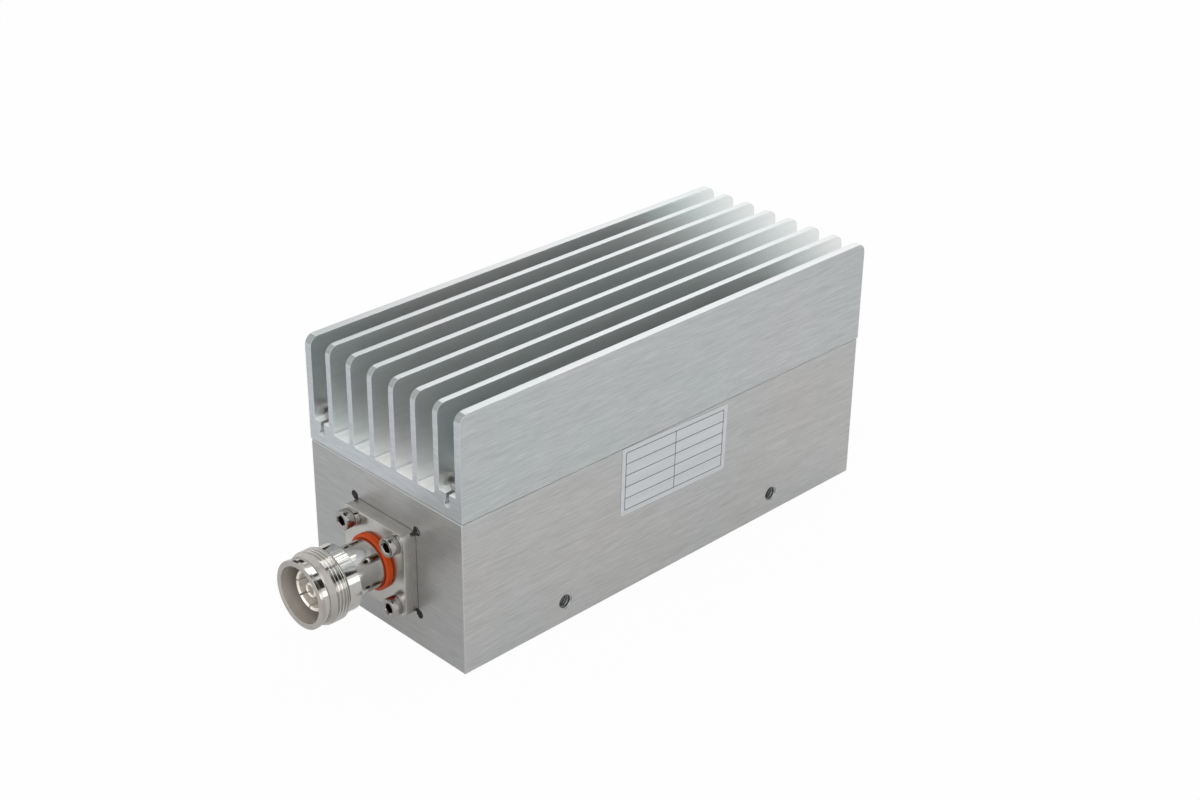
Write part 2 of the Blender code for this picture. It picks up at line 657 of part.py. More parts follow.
def make_sink_screws(steel):
    """Four pan head screws with cross recesses, down through the outer channels."""
    crown = arc(0, 0, 1, 90, 10, 4)
    shoulder = PAN_HEIGHT - PAN_CROWN
    screw = turned("sink_screw", [(PAN_RADIUS * x, shoulder + PAN_CROWN * y) for x, y in crown] + [
        (PAN_RADIUS, shoulder),
        (PAN_RADIUS, 0),
        (SCREW_RADIUS, 0),
        (SCREW_RADIUS, -SINK_SCREW_LENGTH + EDGE_BREAK),
        (SCREW_RADIUS - EDGE_BREAK, -SINK_SCREW_LENGTH),
        (0, -SINK_SCREW_LENGTH),
    ], steel, steps=SMALL_STEPS)
    top = Matrix.Translation((0, 0, PAN_HEIGHT))
    for name, size in (("cross_x", (CROSS_LENGTH, CROSS_WIDTH, 2 * CROSS_DEPTH)),
                       ("cross_y", (CROSS_WIDTH, CROSS_LENGTH, 2 * CROSS_DEPTH))):
        combine(screw, block(name, size, frame=top))
    freeze(screw)
    copies(screw, "sink_screw", [
        Matrix.Translation(place + Vector((0, 0, SEAT_GAP))) @ Matrix.Rotation(SCREW_TURN * n, 4, "Z")
        for n, place in enumerate(sink_screw_places())])


def winding_loops():
    """How many whole turns fit between the former's flanges, and the rise of each."""
    pitch = 2 * CABLE_RADIUS + TURN_GAP
    window = FORMER_TOP - FORMER_BOTTOM - 2 * (FORMER_FLANGE + CABLE_RADIUS + SEAT_GAP)
    return int(window / pitch - 0.5), pitch


def ease(share):
    """A smooth rise from 0 to 1."""
    share = min(max(share, 0), 1)
    return share * share * (3 - 2 * share)


def cable_route():
    """The cable's centre line: out of the ferrule, round the former and into the load."""
    loops, pitch = winding_loops()
    low = FORMER_BOTTOM + FORMER_FLANGE + SEAT_GAP + CABLE_RADIUS
    start = FRONT - CABLE_START
    ferrule_end = INNER_FRONT + 2 * SEAT_GAP + FERRULE_COLLAR
    turn_y = ferrule_end + LEAD_STRAIGHT
    front_y = FORMER_FRONT + FORMER_RADIUS
    rear_y = FORMER_REAR - FORMER_RADIUS
    radius = WINDING_RADIUS / math.cos(math.pi / 2 / WINDING_STEPS)

    # The first bend is the arc that meets the winding smoothly
    span = front_y - turn_y
    bend = (span * span - radius * radius) / (2 * radius)
    angle = math.degrees(math.atan2(span, bend))
    lead = [(0, ferrule_end), (0, (ferrule_end + turn_y) / 2)] + arc(-bend, turn_y, bend, 0, angle, 8)
    lengths = [0]
    for first, second in zip(lead, lead[1:]):
        lengths.append(lengths[-1] + math.dist(first, second))
    settle = lengths[-1] * 0.8
    points = [(0, start, JACK_HEIGHT)]
    points += [(x, y, JACK_HEIGHT + (low - JACK_HEIGHT) * ease(length / settle))
               for (x, y), length in zip(lead, lengths)]

    # Then whole turns, each one pitch higher
    rear_half = arc(0, rear_y, radius, 180, 0, WINDING_STEPS)
    front_half = arc(0, front_y, radius, 360, 180, WINDING_STEPS)
    path = arc(0, front_y, radius, 180 + angle, 180, 4)[1:]
    path += (rear_half + front_half) * loops + [(-radius, rear_y)]
    turn_length = 2 * (rear_y - front_y) + 2 * math.pi * radius
    travelled = 0
    previous = lead[-1]
    for place in path:
        travelled += math.dist(previous, place)
        previous = place
        points.append((*place, low + pitch * travelled / turn_length))

    # It leaves the winding straight on, and turns once into the load
    top = points[-1][2]
    bend_y = LOAD_Y - LEAD_BEND
    points.append((-radius, (rear_y + bend_y) / 2, (top + LOAD_CENTRE) / 2))
    points += [(x, y, LOAD_CENTRE)
               for x, y in arc(LEAD_BEND - radius, bend_y, LEAD_BEND, 180, 90, 5)]
    points.append((-LOAD_WIDTH / 2 - SEAT_GAP, LOAD_Y, LOAD_CENTRE))
    return points


def make_cable(mat):
    """The lossy cable, with its core bare at both ends."""
    route = cable_route()
    cable = tube("load_cable", route, CABLE_RADIUS, mat)
    overlap = CORE_BARE / 2
    socket = LOAD_SOCKET_DEPTH - SEAT_GAP
    front = Matrix.Translation((0, route[0][1] + (overlap - CORE_BARE) / 2, JACK_HEIGHT))
    rear = Matrix.Translation((route[-1][0] + (socket - overlap) / 2, LOAD_Y, LOAD_CENTRE))
    for name, place, length in (
            ("front_core", front @ Matrix.Rotation(math.radians(90), 4, "X"), CORE_BARE + overlap),
            ("rear_core", rear @ Matrix.Rotation(math.radians(90), 4, "Y"), socket + overlap)):
        rod = drills(name, [Vector()], CORE_RADIUS, length, steps=8)
        rod.matrix_world = place
        combine(cable, rod, "UNION")
    return freeze(cable, 50)


def make_former(mat):
    """The aluminium core that the cable is wound on, hung under the heat sink."""
    height = FORMER_TOP - FORMER_BOTTOM
    middle = Matrix.Translation((0, 0, (FORMER_TOP + FORMER_BOTTOM) / 2))
    former = prism("winding_former", [racetrack(FORMER_FRONT, FORMER_REAR, FORMER_RADIUS)],
                   height, mat, middle)
    lip = 2 * CABLE_RADIUS
    rim = racetrack(FORMER_FRONT - lip, FORMER_REAR + lip, FORMER_RADIUS + lip)
    for name, z in (("bottom_rim", FORMER_BOTTOM + FORMER_FLANGE / 2),
                    ("top_rim", FORMER_TOP - FORMER_FLANGE / 2)):
        combine(former, prism(name, [rim], FORMER_FLANGE, frame=Matrix.Translation((0, 0, z))),
                "UNION")
    holes = [Vector((p.x, p.y, FORMER_TOP - FORMER_WEB / 2)) for p in former_screw_places()]
    combine(former, drills("former_holes", holes, FORMER_SCREW_RADIUS + THREAD_GAP,
                           1.5 * FORMER_WEB))
    wells = [Vector((p.x, p.y, FORMER_BOTTOM)) for p in former_screw_places()]
    combine(former, drills("former_wells", wells, FORMER_CAP_RADIUS + SEAT_GAP,
                           2 * (FORMER_CAP_SEAT - FORMER_BOTTOM)))
    return freeze(former)


def make_former_screws(steel):
    """Two cap screws up through the former into the heat sink's base."""
    seat = FORMER_CAP_SEAT - SEAT_GAP
    length = SINK_BOTTOM + TAP_DEPTH - SEAT_GAP - seat
    screw = cap_screw("former_screw", FORMER_SCREW_RADIUS, length, FORMER_CAP_RADIUS,
                      FORMER_CAP_HEIGHT, FORMER_KEY_RADIUS, steel)
    flip = Matrix.Rotation(math.pi, 4, "X")
    copies(screw, "former_screw", [Matrix.Translation((p.x, p.y, seat)) @ flip
                                   for p in former_screw_places()])


def make_thermal_sheet(mat):
    """A soft sheet that carries heat from the former to the heat sink."""
    outlines = [racetrack(FORMER_FRONT - CABLE_RADIUS, FORMER_REAR + CABLE_RADIUS,
                          FORMER_RADIUS + CABLE_RADIUS)]
    outlines += [circle(p.x, p.y, FORMER_SCREW_RADIUS + THREAD_GAP, FINE_STEPS)
                 for p in former_screw_places()]
    place = Matrix.Translation((0, 0, SINK_BOTTOM - SEAT_GAP - THERMAL_SHEET / 2))
    return freeze(prism("thermal_sheet", outlines, THERMAL_SHEET, mat, place))


def make_load(mat):
    """The resistor that ends the cable, in a block under the heat sink's base."""
    load = block("load_resistor", (LOAD_WIDTH, LOAD_DEPTH, LOAD_HEIGHT), mat,
                 Matrix.Translation((0, LOAD_Y, LOAD_CENTRE)))
    socket = [Vector((-LOAD_WIDTH / 2, LOAD_Y, LOAD_CENTRE))]
    combine(load, drills("load_socket", socket, CORE_RADIUS + SEAT_GAP, 2 * LOAD_SOCKET_DEPTH, "X",
                         FINE_STEPS))
    holes = [Vector((p.x, p.y, LOAD_CENTRE)) for p in load_screw_places()]
    combine(load, drills("load_holes", holes, SCREW_RADIUS + THREAD_GAP, 2 * LOAD_HEIGHT,
                         steps=FINE_STEPS))
    wells = [Vector((p.x, p.y, LOAD_TOP - LOAD_HEIGHT)) for p in load_screw_places()]
    combine(load, drills("load_wells", wells, CAP_RADIUS + SEAT_GAP, 2 * LOAD_WELL))
    return freeze(load)


def make_load_screws(steel):
    """Two cap screws that hold the load against the heat sink."""
    seat = LOAD_TOP - LOAD_HEIGHT + LOAD_WELL - SEAT_GAP
    screw = cap_screw("load_screw", SCREW_RADIUS, LOAD_SCREW_LENGTH, CAP_RADIUS, CAP_HEIGHT,
                      KEY_RADIUS, steel)
    flip = Matrix.Rotation(math.pi, 4, "X")
    copies(screw, "load_screw", [Matrix.Translation((p.x, p.y, seat)) @ flip
                                 for p in load_screw_places()])


def main():
    for obj in list(bpy.data.objects):
        bpy.data.objects.remove(obj)
    make_heat_sink(material("satin_aluminium", (0.62, 0.64, 0.65), 0.38, 1.0))
    make_housing(material("brushed_aluminium", (0.50, 0.50, 0.49), 0.42, 1.0))
    make_connector_body(material("plated_shell", (0.60, 0.59, 0.57), 0.18, 1.0))
    make_outer_contact(material("plated_basket", (0.64, 0.62, 0.58), 0.2, 1.0))
    make_centre_contact(material("plated_pin", (0.70, 0.68, 0.64), 0.2, 1.0))
    bead = material("cream_plastic", (0.72, 0.68, 0.60), 0.4)
    inner = PIN_RADIUS + SEAT_GAP
    outer = LINE_RADIUS - SEAT_GAP
    make_ring("front_bead", inner, outer, BASKET_SEAT + BEAD_LENGTH, BEAD_LENGTH, bead)
    make_ring("rear_bead", inner, outer, REAR_BEAD_FRONT, BEAD_LENGTH, bead)
    make_ring("gasket_ring", BARREL_RADIUS + SEAT_GAP, GASKET_RADIUS, FLANGE_FRONT + GASKET_THICKNESS,
              GASKET_THICKNESS - SEAT_GAP, material("orange_silicone", (0.58, 0.07, 0.01), 0.4),
              ROUND_STEPS)
    make_ferrule(material("brass", (0.55, 0.42, 0.18), 0.35, 1.0))
    steel = material("stainless_steel", (0.45, 0.44, 0.43), 0.3, 1.0)
    make_flange_screws(steel)
    make_sink_screws(steel)
    make_cable(material("tinned_copper", (0.60, 0.58, 0.55), 0.45, 1.0))
    make_former(material("plain_aluminium", (0.55, 0.56, 0.57), 0.5, 1.0))
    make_former_screws(steel)
    make_thermal_sheet(material("grey_silicone", (0.30, 0.32, 0.35), 0.7))
    make_load(material("alumina", (0.75, 0.73, 0.68), 0.5))
    make_load_screws(steel)


main()
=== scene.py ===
# %% [markdown]
# A dummy load takes the power of a transmitter and turns it into heat. This one is a milled
# aluminium box with a finned lid, and a threaded jack on its front face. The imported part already
# has every solid at its real size, so this script gives each one its finish, and rebuilds the few
# pieces whose fine turning and threads the plain solids leave out.

import math

import bmesh
import bpy
from mathutils import Matrix, Vector


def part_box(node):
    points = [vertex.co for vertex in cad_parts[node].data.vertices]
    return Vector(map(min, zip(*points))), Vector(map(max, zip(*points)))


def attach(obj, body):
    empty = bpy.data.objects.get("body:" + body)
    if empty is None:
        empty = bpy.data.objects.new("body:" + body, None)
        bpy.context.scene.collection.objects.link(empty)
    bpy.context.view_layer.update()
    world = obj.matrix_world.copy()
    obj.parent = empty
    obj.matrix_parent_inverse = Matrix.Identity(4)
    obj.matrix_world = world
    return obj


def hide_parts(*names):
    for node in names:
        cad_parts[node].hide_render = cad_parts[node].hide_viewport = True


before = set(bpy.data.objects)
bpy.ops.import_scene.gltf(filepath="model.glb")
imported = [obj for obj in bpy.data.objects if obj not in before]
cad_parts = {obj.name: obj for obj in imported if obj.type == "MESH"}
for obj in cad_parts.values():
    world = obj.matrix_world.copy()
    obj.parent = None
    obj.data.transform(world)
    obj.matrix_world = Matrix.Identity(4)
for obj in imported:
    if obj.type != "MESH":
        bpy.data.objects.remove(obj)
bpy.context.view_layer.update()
MM = 0.001

# %% [markdown]
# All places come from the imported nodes. The jack's axis runs along Y through the middle of the
# connector body, and distances along it are counted forward from the housing's front face, so a
# point on the jack is written as a radius and a reach.

# %% Read the places that the new pieces need
housing_low, housing_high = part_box("housing")
sink_low, sink_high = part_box("heat_sink")
body_low, body_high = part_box("connector_body")
FACE_Y = housing_low.y
JACK_Z = (body_low.z + body_high.z) / 2
LIP_REACH = FACE_Y - body_low.y
print("jack axis at", round(JACK_Z / MM, 2), "mm, lip stands out", round(LIP_REACH / MM, 2), "mm")


def on_jack(radius, reach):
    """A point beside the jack's axis, on its +X side."""
    return Vector((radius, FACE_Y - reach, JACK_Z))


# %% [markdown]
# Every new piece ends in the same few steps: the bmesh becomes a mesh, sharp edges are marked by
# their angle, the piece is told which body it rides on and which finish it takes, and the solid
# that it stands for is hidden.

# %% Turn a bmesh into a finished piece
def make_piece(name, bm, material, stands_for=None, smooth_angle=35):
    """A named object at the origin, riding on the part's only body."""
    bmesh.ops.remove_doubles(bm, verts=bm.verts, dist=0.002 * MM)
    bmesh.ops.recalc_face_normals(bm, faces=bm.faces)
    mesh = bpy.data.meshes.new(name)
    bm.to_mesh(mesh)
    bm.free()
    mesh.shade_smooth()
    mesh.set_sharp_from_angle(angle=math.radians(smooth_angle))
    piece = bpy.data.objects.new(name, mesh)
    bpy.context.scene.collection.objects.link(piece)
    mesh.materials.append(material)
    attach(piece, "root")
    if stands_for:
        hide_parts(stands_for)
    print(name, len(mesh.polygons), "faces")
    return piece


# %% [markdown]
# Shader trees are built with one short helper. It adds a node, then sets each named socket to a
# plain value or links it to another node's output, so a tree reads from top to bottom like a
# recipe.

# %% Add a shader node
def add_node(tree, kind, settings=None, **sockets):
    """A new node whose sockets are set, or linked where the value is another socket."""
    node = tree.nodes.new("ShaderNode" + kind)
    for key, value in (settings or {}).items():
        setattr(node, key, value)
    for key, value in sockets.items():
        key = key.replace("_", " ")
        socket = node.inputs[int(key[1:])] if key[0] == "n" and key[1:].isdigit() else node.inputs[key]
        if isinstance(value, bpy.types.NodeSocket):
            tree.links.new(value, socket)
        else:
            socket.default_value = value
    return node


def calculate(tree, operation, first, second=0.0):
    """The result of a Math node."""
    return add_node(tree, "Math", {"operation": operation}, n0=first, n1=second).outputs[0]


def blend_colours(tree, share, first, second):
    """A mix of two colours."""
    node = add_node(tree, "Mix", {"data_type": "RGBA"}, n0=share, n6=first, n7=second)
    return node.outputs[2]


# %% [markdown]
# Brushed metal is thousands of fine scratches, all one way. One noise stretched along the
# scratches gives the fine lines, and a second, broader one the slow changes of tone between
# passes of the belt. The effect is used on several metals, so it is a node group with named
# inputs. It takes its coordinates in metres, already turned so that the scratches run along Y.

# %% Build the brushed grain group
def make_group(name, inputs, outputs):
    """An empty shader group with the given sockets, and its two end nodes."""
    group = bpy.data.node_groups.new(name, "ShaderNodeTree")
    for socket_name, socket_type, value in inputs:
        socket = group.interface.new_socket(socket_name, in_out="INPUT", socket_type=socket_type)
        if value is not None:
            socket.default_value = value
    for socket_name, socket_type in outputs:
        group.interface.new_socket(socket_name, in_out="OUTPUT", socket_type=socket_type)
    return group, group.nodes.new("NodeGroupInput"), group.nodes.new("NodeGroupOutput")


brushing, start, end = make_group(
    "brushed_grain",
    [("Place", "NodeSocketVector", None), ("Lines per m", "NodeSocketFloat", 3000.0),
     ("Scratch share", "NodeSocketFloat", 0.028)],
    [("Line", "NodeSocketFloat"), ("Pass", "NodeSocketFloat")])
stretch = add_node(brushing, "CombineXYZ", X=1.0, Y=start.outputs["Scratch share"], Z=1.0)
along = add_node(brushing, "VectorMath", {"operation": "MULTIPLY"}, n0=start.outputs["Place"],
                 n1=stretch.outputs[0])
lines = add_node(brushing, "TexNoise", Vector=along.outputs[0], Scale=start.outputs["Lines per m"],
                 Detail=3.0, Roughness=0.8)
broad = add_node(brushing, "TexNoise", Vector=along.outputs[0], Detail=3.0, Roughness=0.6,
                 Scale=calculate(brushing, "MULTIPLY", start.outputs["Lines per m"], 0.12))
brushing.links.new(lines.outputs[0], end.inputs["Line"])
brushing.links.new(broad.outputs[0], end.inputs["Pass"])
print("group", brushing.name, "with", len(brushing.nodes), "nodes")


# %% [markdown]
# Machined edges are never quite sharp. The Bevel node rounds the shading over a fraction of a
# millimetre, which catches a thin line of light, and where its normal leaves the true one there
# is an edge, so the same node gives a mask for worn, brighter metal.

# %% Build the broken edge group
edges, start, end = make_group(
    "broken_edges",
    [("Radius", "NodeSocketFloat", 0.0002)],
    [("Normal", "NodeSocketVector"), ("Edge", "NodeSocketFloat")])
rounded = add_node(edges, "Bevel", {"samples": 6}, Radius=start.outputs["Radius"])
facing = add_node(edges, "NewGeometry")
agree = add_node(edges, "VectorMath", {"operation": "DOT_PRODUCT"}, n0=rounded.outputs[0],
                 n1=facing.outputs["Normal"])
edges.links.new(rounded.outputs[0], end.inputs["Normal"])
mask = add_node(edges, "MapRange", Value=agree.outputs["Value"], n1=1.0, n2=0.9, n3=0.0, n4=1.0)
edges.links.new(mask.outputs[0], end.inputs["Edge"])
print("group", edges.name, "with", len(edges.nodes), "nodes")


# %% [markdown]
# A material starts with a Principled shader in its own tree. Values that are the same all over
# the surface are set on the shader's own sockets, and only what changes over the surface is
# linked to it.

# %% Start a material
def start_material(name, metallic, roughness, **plain):
    """A material, its tree and its Principled shader with the plain values set."""
    material = bpy.data.materials.new(name)
    material.use_nodes = True
    tree = material.node_tree
    shader = tree.nodes["Principled BSDF"]
    shader.inputs["Metallic"].default_value = metallic
    shader.inputs["Roughness"].default_value = roughness
    for key, value in plain.items():
        shader.inputs[key.replace("_", " ")].default_value = value
    return material, tree, shader


def place_group(tree, group, **sockets):
    """A group placed in a material, with its own values."""
    node = add_node(tree, "Group", {"node_tree": group})
    for key, value in sockets.items():
        socket = node.inputs[key.replace("_", " ")]
        if isinstance(value, bpy.types.NodeSocket):
            tree.links.new(value, socket)
        else:
            socket.default_value = value
    return node


def bumped(tree, height, depth, normal):
    """A normal with fine relief on it, the height given as 0 to 1 over a depth in metres."""
    bump = add_node(tree, "Bump", Strength=1.0, Distance=depth, Height=height, Normal=normal)
    return bump.outputs[0]


# %% [markdown]
# The housing and the heat sink are brushed. On the long sides, the top and the bottom, the
# scratches run along the length, and on the two end faces they run across. The end faces are
# found by their normals, and their coordinates are turned a quarter turn so that one grain group
# serves them all. The walls and tips of the fins were never brushed: they keep the bright skin
# of the extrusion, which has no scratches. The walls are painted paler than the tips of the same
# skin, so their colour is partly that skin and partly painted light, standing in for the light
# that reaches down into the channels. They lie inside the outer faces, so their place picks them
# out. The floors between the fins are duller, and painted paler still: painted light, where
# light falls into the channels. Their height tells them apart. The fins' rounded ends are
# painted darker than both of the faces that they join, a painted reflection.

# %% Make a brushed aluminium
END_SLOPE = 0.93       # a face turned more than this towards Y is an end face
NOSE_SLOPE = 0.2       # and one turned more than this belongs to a rounded end
TOP_SLOPE = 0.3        # a face turned more than this towards Z faces up
SKIN_DEPTH = 0.1 * MM  # walls at least this far inside the outer faces keep their skin
FLOOR_DULLNESS = 0.45
GRAIN_RELIEF = 0.01 * MM
BRUSHED_ROUGHNESS = 0.36
BRUSHED_LINES = 4600   # per metre


def brushed_aluminium(name, colours, half_width, floor_height):
    """Brushed metal whose grain runs along Y, and along X on the faces at its two ends."""
    solid = {part: (*colour, 1) for part, colour in colours.items()}
    material, tree, shader = start_material(name, 1.0, BRUSHED_ROUGHNESS)
    place = add_node(tree, "TexCoord").outputs["Object"]
    turned = add_node(tree, "Mapping", Vector=place, Rotation=(0, 0, math.radians(90))).outputs[0]
    normal = add_node(tree, "SeparateXYZ", Vector=add_node(tree, "NewGeometry").outputs["Normal"])
    lengthwise = calculate(tree, "ABSOLUTE", normal.outputs["Y"])
    is_end = calculate(tree, "GREATER_THAN", lengthwise, END_SLOPE)
    is_painted_nose = calculate(tree, "GREATER_THAN", lengthwise, NOSE_SLOPE)
    spot = add_node(tree, "SeparateXYZ", Vector=place)
    across = calculate(tree, "ABSOLUTE", spot.outputs["X"])
    facing_up = calculate(tree, "GREATER_THAN", normal.outputs["Z"], TOP_SLOPE)
    within = calculate(tree, "LESS_THAN", across, half_width - SKIN_DEPTH)
    low = calculate(tree, "LESS_THAN", spot.outputs["Z"], floor_height)
    is_floor = calculate(tree, "MULTIPLY", facing_up, low)
    scratched = calculate(tree, "MAXIMUM", is_end, calculate(tree, "SUBTRACT", 1.0, within))
    chosen = add_node(tree, "Mix", {"data_type": "VECTOR"}, n0=is_end, n4=place, n5=turned)
    grain = place_group(tree, brushing, Place=chosen.outputs[1], Lines_per_m=BRUSHED_LINES)
    scratch = calculate(tree, "SUBTRACT", grain.outputs["Line"], 0.5)
    line = calculate(tree, "ADD", calculate(tree, "MULTIPLY", scratch, scratched), 0.5)
    edge = place_group(tree, edges)
    tint = add_node(tree, "TexNoise", Vector=place, Scale=28.0, Detail=2.0)
    warm = add_node(tree, "MapRange", Value=tint.outputs[0], n1=0.35, n2=0.65, n3=0.0, n4=1.0)
    tone = add_node(tree, "MapRange", Value=grain.outputs["Pass"], n1=0.3, n2=0.7, n3=0.965, n4=1.035)
    streak = add_node(tree, "MapRange", Value=line, n1=0.36, n2=0.64, n3=0.87, n4=1.13)
    drift = blend_colours(tree, warm.outputs[0], (0.985, 1.005, 1.0, 1), (1.015, 0.995, 0.99, 1))
    # partly painted light: the fin walls are painted paler than the tips of the same skin
    walls = blend_colours(tree, within, solid["side"], solid["skin_and_painted_light"])
    sides = blend_colours(tree, facing_up, walls, solid["tip"])
    # painted light: the floors between the fins are painted paler, for light falling into the channels
    levels = blend_colours(tree, is_floor, sides, solid["floor"])
    # painted reflection: the fins' rounded ends are painted darker than the faces that they join
    noses = blend_colours(tree, is_painted_nose, levels, solid["nose_painted_reflection"])
    base = blend_colours(tree, is_end, noses, solid["end"])
    tinted = add_node(tree, "VectorMath", {"operation": "MULTIPLY"}, n0=base, n1=drift).outputs[0]
    shade = calculate(tree, "MULTIPLY", tone.outputs[0], streak.outputs[0])
    toned = add_node(tree, "VectorMath", {"operation": "SCALE"}, n0=tinted, Scale=shade).outputs[0]
    worn = blend_colours(tree, calculate(tree, "MULTIPLY", edge.outputs["Edge"], 0.4), toned,
                         (0.85, 0.86, 0.87, 1))
    tree.links.new(worn, shader.inputs["Base Color"])
    rough = add_node(tree, "MapRange", Value=line, n1=0.2, n2=0.8,
                     n3=BRUSHED_ROUGHNESS - 0.08, n4=BRUSHED_ROUGHNESS + 0.1)
    duller = calculate(tree, "MULTIPLY", is_floor, FLOOR_DULLNESS)
    duller = calculate(tree, "ADD", rough.outputs[0], duller)
    tree.links.new(duller, shader.inputs["Roughness"])
    relief = bumped(tree, line, GRAIN_RELIEF, edge.outputs["Normal"])
    tree.links.new(relief, shader.inputs["Normal"])
    return material


# The fin walls and the floors are painted paler, as painted light, and the noses darker, as a painted
# reflection.
SINK_COLOURS = {
    "side": (0.54, 0.56, 0.57), "end": (0.56, 0.59, 0.62), "skin_and_painted_light": (0.91, 0.94, 0.94),
    "tip": (0.80, 0.82, 0.83), "floor": (0.97, 0.98, 0.98), "nose_painted_reflection": (0.36, 0.38, 0.385),
}
HOUSING_COLOURS = dict.fromkeys(SINK_COLOURS, (0.525, 0.53, 0.525))
# painted shade: the housing's end faces are painted darker than its sides of the same metal
HOUSING_COLOURS["end"] = (0.43, 0.435, 0.435)
FLOORS_BELOW = 7.5 * MM  # above the heat sink's underside, and clear of every channel's floor
sink_metal = brushed_aluminium("sink_metal", SINK_COLOURS, sink_high.x, sink_low.z + FLOORS_BELOW)
housing_metal = brushed_aluminium("housing_metal", HOUSING_COLOURS, housing_high.x, housing_low.z)
for node_name, metal in (("heat_sink", sink_metal), ("housing", housing_metal)):
    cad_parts[node_name].data.materials.clear()
    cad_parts[node_name].data.materials.append(metal)
print("brushed", "heat_sink and housing")

# %% [markdown]
# The jack is turned brass with a bright white plating. The lathe leaves rings too fine to see one
# by one, which soften the reflections along the axis and leave them sharp around it. A noise that
# changes only with the reach along Y gives those rings.

# %% Make the plated metals
def turned_metal(name, colour, roughness, rings_per_m, depth):
    """Plated metal with turning marks round the jack's axis."""
    material, tree, shader = start_material(name, 1.0, roughness)
    place = add_node(tree, "TexCoord").outputs["Object"]
    squeezed = add_node(tree, "VectorMath", {"operation": "MULTIPLY"}, n0=place, n1=(0.01, 1.0, 0.01))
    rings = add_node(tree, "TexNoise", Vector=squeezed.outputs[0], Scale=rings_per_m, Detail=3.0,
                     Roughness=0.6)
    cloud = add_node(tree, "TexNoise", Vector=place, Scale=220.0, Detail=3.0)
    edge = place_group(tree, edges, Radius=0.00012)
    tone = add_node(tree, "MapRange", Value=cloud.outputs[0], n1=0.3, n2=0.7, n3=0.93, n4=1.05)
    toned = add_node(tree, "VectorMath", {"operation": "SCALE"}, n0=colour, Scale=tone.outputs[0])
    tree.links.new(toned.outputs[0], shader.inputs["Base Color"])
    rough = add_node(tree, "MapRange", Value=rings.outputs[0], n1=0.25, n2=0.75, n3=roughness * 0.7,
                     n4=roughness * 1.3)
    tree.links.new(rough.outputs[0], shader.inputs["Roughness"])
    tree.links.new(bumped(tree, rings.outputs[0], depth, edge.outputs["Normal"]),
                   shader.inputs["Normal"])
    return material


shell_metal = turned_metal("shell_metal", (0.55, 0.535, 0.51), 0.10, 5000.0, 0.000001)
satin_shell = turned_metal("satin_shell", (0.46, 0.44, 0.415), 0.18, 5000.0, 0.000002)
bore_satin = turned_metal("bore_satin", (0.66, 0.625, 0.59), 0.55, 5000.0, 0.000002)
flange_metal = turned_metal("flange_metal", (0.51, 0.495, 0.47), 0.28, 3000.0, 0.000002)
contact_metal = turned_metal("contact_metal", (0.96, 0.93, 0.88), 0.62, 5000.0, 0.000002)
# painted shade: the screws' sockets are painted near black, for the dark deep inside them
socket_painted_shade = turned_metal("socket_painted_shade", (0.05, 0.035, 0.03), 0.5, 3000.0, 0.000004)
steel = turned_metal("screw_steel", (0.37, 0.355, 0.34), 0.13, 4000.0, 0.000004)
washer_steel = turned_metal("washer_steel", (0.55, 0.53, 0.51), 0.28, 4000.0, 0.000004)
brass = turned_metal("ferrule_brass", (0.55, 0.42, 0.18), 0.3, 4000.0, 0.000004)
tinned = turned_metal("tinned_jacket", (0.60, 0.58, 0.55), 0.4, 2500.0, 0.00001)
# painted shade: the tapped threads are painted far darker than the housing's aluminium
tapped_painted_shade = turned_metal("tapped_painted_shade", (0.20, 0.205, 0.205), 0.35, 4000.0, 0.000004)
core_metal = turned_metal("former_metal", (0.55, 0.56, 0.57), 0.42, 1500.0, 0.00001)
print("plated and turned metals", 12)


# %% [markdown]
# Rubber, plastic and ceramic don't conduct, so their colour comes from inside. They get a slow
# drift of tone and a fine grain in the relief, each at its own scale.

# %% Make the soft and fired materials
def plain_body(name, colour, roughness, grain_per_m, depth, **plain):
    """A non-metal with a slight drift of tone and a fine grain."""
    material, tree, shader = start_material(name, 0.0, roughness, **plain)
    place = add_node(tree, "TexCoord").outputs["Object"]
    drift = add_node(tree, "TexNoise", Vector=place, Scale=160.0, Detail=3.0)
    grain = add_node(tree, "TexNoise", Vector=place, Scale=grain_per_m, Detail=5.0, Roughness=0.65)
    tone = add_node(tree, "MapRange", Value=drift.outputs[0], n1=0.3, n2=0.7, n3=0.85, n4=1.1)
    toned = add_node(tree, "VectorMath", {"operation": "SCALE"}, n0=colour, Scale=tone.outputs[0])
    tree.links.new(toned.outputs[0], shader.inputs["Base Color"])
    edge = place_group(tree, edges, Radius=0.00015)
    tree.links.new(bumped(tree, grain.outputs[0], depth, edge.outputs["Normal"]),
                   shader.inputs["Normal"])
    return material


silicone = plain_body("orange_silicone", (0.54, 0.06, 0.001), 0.42, 3000.0, 0.00001,
                      Specular_IOR_Level=0.25)
bead_plastic = plain_body("bead_plastic", (0.82, 0.79, 0.73), 0.35, 2500.0, 0.00001)
sheet_rubber = plain_body("sheet_rubber", (0.30, 0.32, 0.35), 0.7, 2000.0, 0.00003)
alumina = plain_body("alumina", (0.75, 0.73, 0.68), 0.5, 4000.0, 0.00001)
print("rubber, plastic and ceramic", 4)

# %% Give the remaining solids their finish
FINISHES = {
    "outer_contact": contact_metal, "centre_contact": contact_metal, "front_bead": bead_plastic,
    "rear_bead": bead_plastic, "cable_ferrule": brass, "load_cable": tinned,
    "winding_former": core_metal, "thermal_sheet": sheet_rubber, "load_resistor": alumina,
}
for node_name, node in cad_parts.items():
    finish = FINISHES.get(node_name)
    if "screw" in node_name or "washer" in node_name:
        finish = steel
    if finish:
        node.data.materials.clear()
        node.data.materials.append(finish)
print("finished", len(FINISHES), "inner and contact pieces, and the screws")

